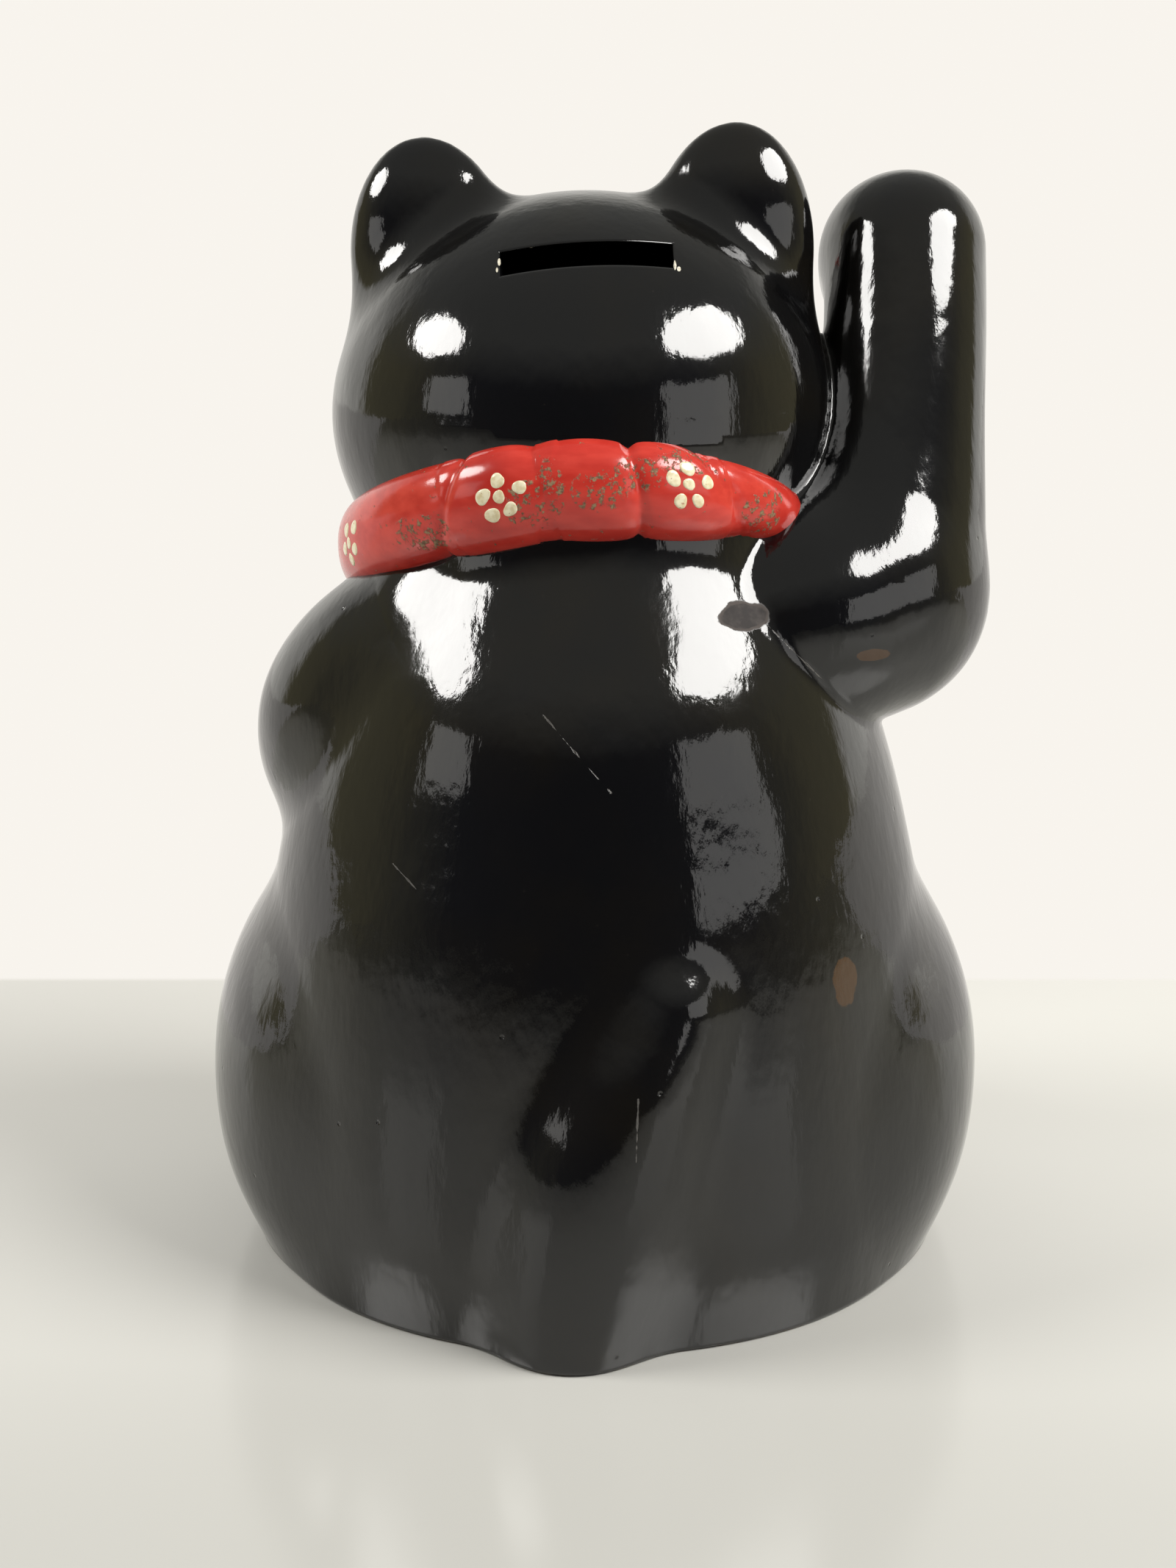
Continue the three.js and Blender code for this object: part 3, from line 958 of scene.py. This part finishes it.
def collar_points(angle, round_it, lift=0.0):
    """Points on the collar: angle goes about the neck, round_it about the band, both in degrees."""
    angle, round_it = np.broadcast_arrays(np.asarray(angle, float), np.asarray(round_it, float))
    phi = np.radians(round_it)
    theta = np.radians(angle)
    puff = np.ones_like(theta)
    for i, (at, depth, width, slant, fade, full) in enumerate(GATHERS):
        away = (angle - at - slant * np.sin(phi) + 180) % 360 - 180
        strength = depth * (1 - fade * (1 - np.sin(phi)) / 2)
        puff -= strength / (1 + (away / width) ** 2)
        before = GATHERS[i - 1][5]
        span = (GATHERS[(i + 1) % len(GATHERS)][0] - at) % 360
        inside = (away >= 0) & (away < span)
        t = np.clip(away / 2.5, 0, 1)
        puff += np.where(inside, before + (full - before) * t * t * (3 - 2 * t) - 1, 0)
        middle = np.clip(away / span, 0, 1)
        puff += np.where(inside, 0.05 * np.sin(np.pi * middle), 0)
    outward = np.sign(np.cos(phi)) * np.abs(np.cos(phi)) ** 0.86
    upward = np.sign(np.sin(phi)) * np.abs(np.sin(phi)) ** 0.94
    squeezed = 1 - 0.35 * np.maximum(0, np.cos(theta - math.radians(165))) ** 4
    reach = outward * (COLLAR_THICKNESS / 2 * puff + lift)
    climb = COLLAR_RISE * np.sin(theta) + COLLAR_ARCH * np.sin(theta) ** 2
    p = np.stack(
        [
            np.cos(theta) * (COLLAR_RADII[0] + reach),
            np.sin(theta) * (COLLAR_RADII[1] + reach),
            climb + upward * (COLLAR_HEIGHT / 2 * puff * squeezed + lift),
        ],
        -1,
    )
    flat = p.reshape(-1, 3)
    return (turned_y(flat, -COLLAR_ROLL) + np.array(COLLAR_AT, float)).reshape(p.shape)


def collar():
    around, about = ((720, 56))
    angles = np.linspace(0, 360, around, endpoint=False)
    rounds = np.linspace(0, 360, about, endpoint=False)
    grid = collar_points(angles[:, None], rounds[None, :])
    faces = grid_faces(around, about)
    last = (around - 1) * about
    faces += [[last + i, last + (i + 1) % about, (i + 1) % about, i] for i in range(about)]
    piece = welded(mesh_object("collar_look", grid.reshape(-1, 3), faces, material=red))
    keep(piece, node="collar")


def solid_relief(name, top, bottom, wrap, material):
    """A closed piece between a grid of points above and the same grid below."""
    rows, columns = top.shape[:2]
    verts = np.vstack([top.reshape(-1, 3), bottom.reshape(-1, 3)])
    n = rows * columns
    faces = grid_faces(rows, columns, 0, wrap)
    faces += [f[::-1] for f in grid_faces(rows, columns, n, wrap)]
    last = [(rows - 1) * columns + c for c in range(columns)]
    for c in range(columns if wrap else columns - 1):
        a, b = last[c], last[(c + 1) % columns]
        faces.append([a, a + n, b + n, b])
    if not wrap:
        for c in range(columns - 1):
            faces.append([c + 1, c + 1 + n, c + n, c])
        for r in range(rows - 1):
            a, b = r * columns, (r + 1) * columns
            faces.append([a, a + n, b + n, b])
            a, b = a + columns - 1, b + columns - 1
            faces.append([b, b + n, a + n, a])
    return welded(mesh_object(name, verts, faces, material=material))


def drop_on_collar(name, angle, round_it, radius):
    """A round drop of cream enamel on the collar."""
    rings = np.linspace(0, 1, 6)[:, None]
    spokes = np.linspace(0, 2 * np.pi, 28, endpoint=False)[None, :]
    here = collar_points(angle, round_it)
    per_angle = np.linalg.norm(collar_points(angle + 0.5, round_it) - here) * 2
    per_round = np.linalg.norm(collar_points(angle, round_it + 1) - here)
    wobble = 1 + 0.07 * np.sin(2 * spokes + angle) + 0.05 * np.sin(3 * spokes + round_it)
    a = angle + rings * radius * wobble * np.cos(spokes) / per_angle
    r = round_it + rings * radius * wobble * np.sin(spokes) / per_round
    dome = 0.2 * np.sqrt(np.maximum(1 - rings**4, 0)) - 0.04 + 0 * spokes
    top = collar_points(a, r, dome)
    bottom = collar_points(a, r, -0.4)
    keep(solid_relief(name, top, bottom, True, cream))


# The petals of a blossom: direction from its heart in degrees, and distance in millimetres.
PETALS = [(95, 4.2), (19, 5.5), (-51, 4.3), (-114, 4.7), (172, 4.2)]

# The blossoms of the collar: angle about the neck, height round the band, and the turn of the petals.
BLOSSOMS = [(73, 4, 0), (114.5, 11, -8), (23, -4, 20), (193, 2, 30), (218, 6, -15), (243, 0, 40)]
BLOSSOMS += [(293, 3, -30), (318, -2, 12), (345, 4, -20)]


def blossoms():
    for number, (angle, round_it, turn) in enumerate(BLOSSOMS):
        here = collar_points(angle, round_it)
        per_angle = np.linalg.norm(collar_points(angle + 0.5, round_it) - here) * 2
        per_round = np.linalg.norm(collar_points(angle, round_it + 1) - here)
        drop_on_collar(f"blossom_{number}_heart", angle, round_it, 1.6)
        for petal, (direction, reach) in enumerate(PETALS):
            direction = math.radians(direction + turn)
            a = angle + reach * math.cos(direction) / per_angle
            r = round_it + reach * math.sin(direction) / per_round
            drop_on_collar(f"blossom_{number}_petal_{petal}", a, r, 1.9 + 0.15 * math.sin(5 * petal + number))


# ---------------------------------------------------------------- painted relief on the front


def on_front(x, z, start=-125.0):
    """Where points of the front view meet the figure, and the surface's direction there."""
    shape = np.shape(x)
    p = np.stack([np.ravel(x), np.full(np.size(x), start), np.ravel(z)], 1).astype(float)
    for _ in range(36):
        p[:, 1] += np.clip(figure(p) * 0.85, -3, 25)
    _, slope = gradient(figure, p)
    return p.reshape(*shape, 3), unit(slope).reshape(*shape, 3)


def head_view(x, z):
    """Front-view places measured from the centre of the head, as places on the figure."""
    flat = np.stack([np.ravel(x), np.zeros(np.size(x)), np.ravel(z)], 1)
    p = from_head(flat)
    return p[:, 0].reshape(np.shape(x)), p[:, 2].reshape(np.shape(x))


def front_patch(name, outline, centre, height, material, head=True, lift=0.0):
    """A low dome of enamel inside an outline of (x, z) points on the front of the figure."""
    outline = np.array(outline, float)
    rings = np.linspace(0, 1, 12)[:, None]
    x = centre[0] + rings * (outline[:, 0] - centre[0])
    z = centre[1] + rings * (outline[:, 1] - centre[1])
    if head:
        x, z = head_view(x, z)
    surface, direction = on_front(x, z)
    dome = (lift + height * np.sqrt(np.maximum(1 - rings**3, 0)) - 0.03)[..., None]
    keep(solid_relief(name, surface + direction * dome, surface - direction * 0.4, True, material))


def front_line(name, path, width, height, material, head=True):
    """A tapered brush line of enamel along (x, z) points on the front of the figure."""
    line = catmull([(x, 0, z) for x, z in path], 10)
    along = np.gradient(line, axis=0)
    across = unit(np.stack([-along[:, 2], np.zeros(len(line)), along[:, 0]], 1))
    t = np.linspace(0, 1, len(line))
    half = width / 2 * np.clip(1.25 * np.sin(np.pi * (0.12 + 0.76 * t)) ** 0.7, 0.15, 1)
    s = np.linspace(-1, 1, 9)
    x = line[:, 0][:, None] + across[:, 0][:, None] * half[:, None] * s
    z = line[:, 2][:, None] + across[:, 2][:, None] * half[:, None] * s
    if head:
        x, z = head_view(x, z)
    surface, direction = on_front(x, z)
    dome = (height * np.sqrt(1 - s**2) - 0.03)[None, :, None]
    keep(solid_relief(name, surface + direction * dome, surface - direction * 0.4, False, material))


def oval(x, z, half_width, half_height, tilt=0.0, points=48, sharp=1.0):
    """An oval outline; sharp above 1 draws its two ends to points."""
    t = np.linspace(0, 2 * np.pi, points, endpoint=False)
    a = half_width * np.cos(t)
    b = half_height * np.sign(np.sin(t)) * np.abs(np.sin(t)) ** sharp
    c, s = math.cos(tilt), math.sin(tilt)
    return np.stack([x + a * c - b * s, z + a * s + b * c], 1)


def face():
    """A plain cat face: round-cornered eyes, small nose, mouth, whiskers, and red inside the ears."""
    for side, word in ((1, "left"), (-1, "right")):
        x, z = side * 23, 5
        tilt = side * 0.16
        rim = oval(x, z, 11.4, 8.6, tilt, sharp=1.25)
        front_patch(f"{word}_eye_rim", rim, (x, z), 0.35, gold)
        white = oval(x, z, 10.0, 7.4, tilt, sharp=1.25)
        front_patch(f"{word}_eye", white, (x, z), 0.35, cream, lift=0.25)
        pupil = oval(x - side * 1, z, 3.6, 5.9)
        front_patch(f"{word}_pupil", pupil, (x - side, z), 0.35, glaze, lift=0.5)
        brow = [(side * 13, 19), (side * 22, 22.5), (side * 31, 20)]
        front_line(f"{word}_brow", brow, 2.2, 0.45, gold)
        for row in range(3):
            start = (side * 23, -10 - 4.5 * row)
            middle = (side * 33, -8.5 - 6.2 * row)
            end = (side * 43, -5.5 - 8.6 * row)
            front_line(f"{word}_whisker_{row}", [start, middle, end], 1.5, 0.45, gold)
        lip = [(0, -17.5), (side * 3, -21), (side * 8, -22), (side * 12.5, -18.5)]
        front_line(f"{word}_lip", lip, 1.7, 0.45, red)
        reach = EAR_REACH[side]
        base = oval(side * (reach + 1.4), 51, 8, 11.5, -side * EAR_LEAN, sharp=1.15)
        front_patch(f"{word}_inner_ear", base, (side * (reach + 1.4), 51), 0.5, red)
    nose = oval(0, -11, 4.6, 3.1, sharp=0.8)
    nose[:, 0] *= 1 + 0.12 * (nose[:, 1] + 11) / 3.1
    front_patch("nose", nose, (0, -11), 0.9, red)


def toes():
    """Brushed lines that part the toes of the four paws."""
    for i in range(3):
        x = -86 + 7 * i
        line = [(x, 273), (x - 0.5, 264), (x + 0.3, 256)]
        front_line(f"raised_toe_{i}", line, 1.5, 0.4, gold, head=False)
        x = 18.5 + 5.5 * i
        line = [(x, 115), (x - 0.5, 108), (x - 0.3, 102)]
        front_line(f"lowered_toe_{i}", line, 1.4, 0.4, gold, head=False)
        for side, word in ((1, "left"), (-1, "right")):
            x = side * 46 + 7.5 * (i - 1)
            path = [(x, 21), (x + 0.3, 14), (x, 7)]
            front_line(f"{word}_foot_toe_{i}", path, 1.6, 0.4, gold, head=False)


# ---------------------------------------------------------------- bell, coin, base and stopper


def bell():
    """A hollow round bell with a rolled belt, and a slit across its underside."""
    low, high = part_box("bell")
    radius = 11.5
    centre = Vector(((low.x + high.x) / 2, low.y + (radius + 0.9) * MM, (low.z + high.z) / 2)) / MM
    angles = np.radians(np.linspace(-90, 90, 49))
    belt = 0.95 * np.exp(-((np.degrees(angles) / 5.2) ** 4))
    profile = np.stack([(radius + belt) * np.cos(angles), (radius + belt) * np.sin(angles)], 1)
    piece = lathe("bell_look", profile, gold, 96)
    bm = bmesh.new()
    bm.from_mesh(piece.data)
    half = 1.3 * MM
    for x in (half, -half):
        faces = [f for f in bm.faces if f.calc_center_median().z < -2.2 * MM]
        region = set(faces) | {e for f in faces for e in f.edges} | {v for f in faces for v in f.verts}
        bmesh.ops.bisect_plane(bm, geom=list(region), dist=1e-7, plane_co=(x, 0, 0), plane_no=(1, 0, 0))
    gone = [
        f
        for f in bm.faces
        if abs(f.calc_center_median().x) < half and f.calc_center_median().z < -2.4 * MM
    ]
    bmesh.ops.delete(bm, geom=gone, context="FACES")
    bm.to_mesh(piece.data)
    bm.free()
    thicken = piece.modifiers.new("wall", "SOLIDIFY")
    thicken.thickness = 1.1 * MM
    thicken.offset = -1
    fix_mesh(piece)
    piece.data.transform(matrix_of(centre))
    keep(piece, node="bell")


def fix_mesh(piece):
    """Applies a piece's modifiers."""
    done = piece.evaluated_get(bpy.context.evaluated_depsgraph_get())
    mesh = bpy.data.meshes.new_from_object(done)
    piece.modifiers.clear()
    piece.data = mesh


def matrix_of(place, turns=()):
    """A turn about the origin, then a move to a place in millimetres."""
    result = Matrix.Identity(4)
    for angle, axis in turns:
        result = Matrix.Rotation(angle, 4, axis) @ result
    return Matrix.Translation(Vector(place) * MM) @ result


def koban():
    """The oval coin: a raised rim round a field hammered into fine ridges, and no lettering."""
    width, length, thickness = 36, 60, 8
    around = 160
    t = np.linspace(0, 2 * np.pi, around, endpoint=False)
    edge = [(1.0, 0.0), (0.985, 0.42), (0.96, 0.75), (0.93, 0.92)]
    edge += [(0.90, 1.0), (0.85, 1.0), (0.82, 0.93), (0.79, 0.74)]
    rings = [(share, -height) for share, height in edge[::-1]] + edge[1:]
    rings += [(0.77 * (1 - i / 24), 0.72) for i in range(24)] + [(0.0, 0.72)]
    rings = [(0.0, -0.74)] + rings
    rows = []
    for share, height in rings:
        x = share * width / 2 * np.cos(t)
        z = share * length / 2 * np.sin(t)
        y = np.full(around, -height * thickness / 2)
        if height == 0.72:
            y -= 0.16 * np.abs(np.sin(z * 1.6 + 0.25 * np.sin(x * 0.7))) * min(1, 6 * (0.8 - share))
        rows.append(np.stack([x, y, z], 1))
    piece = welded(mesh_object("koban_look", np.vstack(rows), grid_faces(len(rows), around), material=gold))
    piece.data.transform(matrix_of((12, -90, 74), ((-0.2, "Y"), (0.03, "X"))))
    keep(piece, node="koban")


def base_plate():
    """The clay disc inside the foot, with throwing rings on its underside and an eased edge to its hole."""
    bottom, top, hole = 4.5, 10.5, 22.5
    around = 144
    t = np.linspace(0, 2 * np.pi, around, endpoint=False)
    direction = np.stack([np.cos(t), np.sin(t), np.zeros(around)], 1)
    reach = np.full(around, 70.0)
    for _ in range(40):
        p = direction * reach[:, None] + np.array([0, 0, (bottom + top) / 2])
        reach -= (masses(p)["body_shell"] + WALL + 0.5) * 0.9
    rows = [(0.0, bottom + 0.8), (0.0, top - 0.8), (0.02, top - 0.2), (0.06, top)]
    rows += [(0.06 + 0.92 * i / 20, top - 0.1 * math.sin(i * 1.7) ** 2) for i in range(1, 21)]
    rows += [(0.99, top - 0.3), (1.0, top - 1.0), (1.0, bottom + 1.0), (0.99, bottom + 0.3)]
    rows += [(0.98 - 0.92 * i / 60, bottom + 0.22 * math.sin(i * 0.9) ** 2) for i in range(61)]
    rows += [(0.02, bottom + 0.2), (0.0, bottom + 0.8)]
    verts = []
    for share, height in rows:
        r = hole + share * (reach - hole)
        verts.append(direction * r[:, None] + np.array([0, 0, height]))
    faces = grid_faces(len(rows), around)
    piece = welded(mesh_object("base_plate_look", np.vstack(verts), faces, material=clay))
    keep(piece, node="base_plate")


def stopper():
    """The rubber plug: a hollow cup with a rolled flange under the plate and a pull tab."""
    top, wall, flange, plug, taper = 17, 3, 27, 22.1, 0.8
    low, seat = 1.2, 3.8
    inner = plug - taper - wall
    profile = [(0, top - wall), (inner, top - wall), (plug - wall, low)]
    profile += [(flange, low), (flange, seat), (plug, seat)]
    profile += [(plug, 8), (plug + 0.0, 11), (plug - taper, top), (0, top)]
    radii = [0, 1.6, 0.8, 1.1, 0.5, 0.35, 0, 0, 1.4, 0]
    cup = lathe("stopper_look", rounded(profile, radii), rubber, 128)
    keep(cup, "stopper", "stopper")
    bm = bmesh.new()
    bmesh.ops.create_cube(bm, size=1)
    bmesh.ops.scale(bm, vec=(1.3 * inner * MM, 5 * MM, 10 * MM), verts=bm.verts)
    bmesh.ops.bevel(bm, geom=bm.edges[:], offset=1.4 * MM, segments=5, profile=0.5, affect="EDGES")
    bmesh.ops.translate(bm, vec=(0, 0, (top - wall - 4.4) * MM), verts=bm.verts)
    mesh = bpy.data.meshes.new("stopper_tab")
    bm.to_mesh(mesh)
    bm.free()
    tab = bpy.data.objects.new("stopper_tab", mesh)
    bpy.context.scene.collection.objects.link(tab)
    mesh.materials.append(rubber)
    mesh.polygons.foreach_set("use_smooth", [True] * len(mesh.polygons))
    keep(tab, "stopper")


# ---------------------------------------------------------------- camera, light and table


def camera():
    data = bpy.data.cameras.new("camera")
    data.lens = 56
    data.sensor_width = 36
    data.clip_start = 0.01
    eye = bpy.data.objects.new("camera", data)
    eye.location = (0.002, 0.645, 0.274)
    eye.rotation_euler = (math.radians(90 - 12.9), 0, math.pi)
    bpy.context.scene.collection.objects.link(eye)
    bpy.context.scene.camera = eye


def softbox(name, azimuth, elevation, width, height, radiance, shape="ELLIPSE", distance=1.5):
    """A soft light: azimuth is from +Y towards +X, both angles in degrees, sizes in metres."""
    data = bpy.data.lights.new(name, "AREA")
    data.shape = shape
    data.size = width
    data.size_y = height
    data.energy = radiance * math.pi * width * height
    data.color = (1.0, 0.985, 0.96)
    lamp = bpy.data.objects.new(name, data)
    a, e = math.radians(azimuth), math.radians(elevation)
    direction = Vector((math.sin(a) * math.cos(e), math.cos(a) * math.cos(e), math.sin(e)))
    lamp.location = Vector((0, 0, 0.19)) + direction * distance
    lamp.rotation_euler = direction.to_track_quat("Z", "Y").to_euler()
    lamp.visible_camera = False
    bpy.context.scene.collection.objects.link(lamp)


BACKDROP = (0.94, 0.905, 0.85)
TABLE_EDGE = -0.224  # how far behind the figure, seen from the camera, the table gives way to the backdrop


def surroundings():
    """The room that the glaze mirrors: a pale backdrop, dim brown sides, and dark towards the camera."""
    world = bpy.data.worlds.new("room")
    world.use_nodes = True
    bpy.context.scene.world = world
    tree = world.node_tree
    tree.nodes.clear()
    new = tree.nodes.new
    link = tree.links.new
    split = new("ShaderNodeSeparateXYZ")
    link(new("ShaderNodeTexCoord").outputs["Generated"], split.inputs[0])
    ramp = new("ShaderNodeValToRGB")
    link(map_range(tree, split.outputs["Y"], -1, 1), ramp.inputs[0])
    stops = [(-1.0, (0.75, 0.73, 0.69)), (-0.85, (1.25, 1.22, 1.14)), (-0.45, (1.3, 1.27, 1.18))]
    stops += [(-0.33, (0.36, 0.33, 0.20)), (0.05, (0.36, 0.33, 0.21)), (0.35, (0.20, 0.19, 0.15))]
    stops += [(0.62, (0.07, 0.07, 0.08)), (1.0, (0.04, 0.04, 0.045))]
    fill(ramp.color_ramp, [((y + 1) / 2, colour) for y, colour in stops])
    above = new("ShaderNodeMix")
    above.data_type = "RGBA"
    link(map_range(tree, split.outputs["Z"], 0.3, 0.65), above.inputs[0])
    link(ramp.outputs[0], above.inputs[6])
    above.inputs[7].default_value = (0.30, 0.30, 0.28, 1)
    seen = new("ShaderNodeMix")
    seen.data_type = "RGBA"
    link(new("ShaderNodeLightPath").outputs["Is Camera Ray"], seen.inputs[0])
    link(above.outputs[2], seen.inputs[6])
    seen.inputs[7].default_value = (*BACKDROP, 1)
    background = new("ShaderNodeBackground")
    link(seen.outputs[2], background.inputs[0])
    link(background.outputs[0], new("ShaderNodeOutputWorld").inputs[0])


def map_range(tree, socket, low, high):
    node = tree.nodes.new("ShaderNodeMapRange")
    node.inputs["From Min"].default_value = low
    node.inputs["From Max"].default_value = high
    tree.links.new(socket, node.inputs["Value"])
    return node.outputs[0]


def fill(ramp, stops):
    """Sets the colour stops of a ramp."""
    while len(ramp.elements) < len(stops):
        ramp.elements.new(0.5)
    for element, (at, colour) in zip(ramp.elements, stops):
        element.position = at
    for element, (at, colour) in zip(ramp.elements, stops):
        element.color = (*colour, 1)


def table():
    """A glossy pale table that gives way to the backdrop behind the figure, with painted shade that darkens
    it towards the camera.
    """
    size = 6.0
    verts = [(x * size / MM, y * size / MM, 0) for x, y in ((-1, -1), (1, -1), (1, 1), (-1, 1))]
    p = Paint("table")
    colour = p.mix(p.noise(60, 3), (0.70, 0.69, 0.65), (0.72, 0.71, 0.67))
    # painted shade: the table is coloured darker towards the camera
    painted_shade_near_camera = p.step(p.coordinate("Y"), -0.06, 0.20)
    colour = p.mix(painted_shade_near_camera, colour, (0.52, 0.515, 0.485))
    p.set(Base_Color=colour, Roughness=p.total((p.noise(30, 3), 0.05), (1.0, 0.15)), IOR=1.5)
    p.relief(p.total((p.noise(25, 2), 0.02), (1.0, 0.0)))
    backdrop = p.tree.nodes.new("ShaderNodeEmission")
    backdrop.inputs["Color"].default_value = (*BACKDROP, 1)
    change = p.tree.nodes.new("ShaderNodeMixShader")
    p.feed(change.inputs[0], p.step(p.coordinate("Y"), TABLE_EDGE - 0.004, TABLE_EDGE + 0.002))
    p.tree.links.new(backdrop.outputs[0], change.inputs[1])
    p.tree.links.new(p.shader.outputs[0], change.inputs[2])
    p.tree.links.new(change.outputs[0], p.tree.nodes["Material Output"].inputs["Surface"])
    floor = mesh_object("table", verts, [[0, 1, 2, 3]], material=p.material)


def lighting():
    softbox("key_left", 78, 35, 0.74, 0.44, 13)
    softbox("key_right", -64, 40, 1.05, 0.60, 13)
    softbox("low_left", 60, 11, 0.5, 0.42, 1.3, "RECTANGLE")
    softbox("low_right", -50, 9, 0.85, 0.5, 1.2, "RECTANGLE")


castings()
collar()
blossoms()
face()
toes()
bell()
koban()
base_plate()
stopper()
camera()
surroundings()
lighting()
table()
bpy.context.scene.view_settings.view_transform = "Standard"
